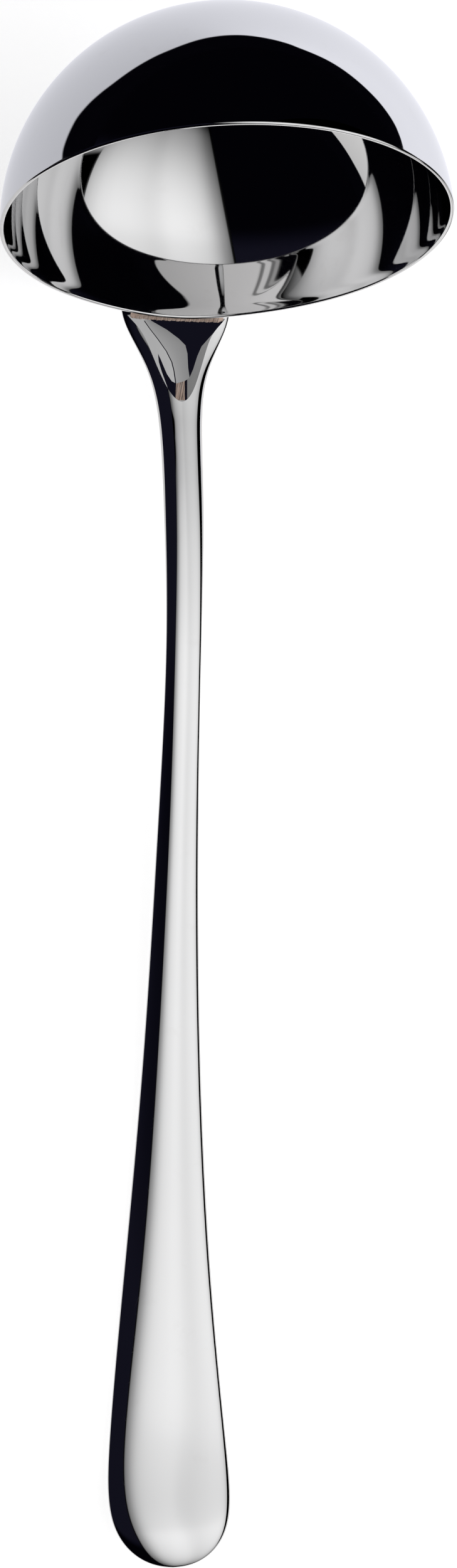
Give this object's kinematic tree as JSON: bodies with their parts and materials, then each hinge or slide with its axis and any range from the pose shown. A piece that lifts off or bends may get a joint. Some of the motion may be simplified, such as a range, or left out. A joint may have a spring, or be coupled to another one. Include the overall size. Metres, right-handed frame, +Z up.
{
  "type": "ladle",
  "caption": "Soup ladle with a deep hemispherical bowl and a long S-curved handle, slim at the neck and flaring to a rounded grip, brazed to the outside of the rim.",
  "frame": {"origin": "on the table under the middle of the ladle's box, with the ladle lying on its back", "axes": "+Y from the grip towards the bowl, along the ladle; +X across it, square to its plane of symmetry; +Z up from the table"},
  "size_m": [0.09, 0.3096, 0.0921],
  "materials": {
    "bowl_steel": "mirror-polished stainless steel sheet",
    "handle_steel": "mirror-polished forged stainless steel",
    "braze_copper": "copper-coloured brazing filler, dull and slightly uneven"
  },
  "bodies": {
    "root": {"bowl": "bowl_steel", "handle": "handle_steel", "braze": "braze_copper"}
  },
  "joints": []
}
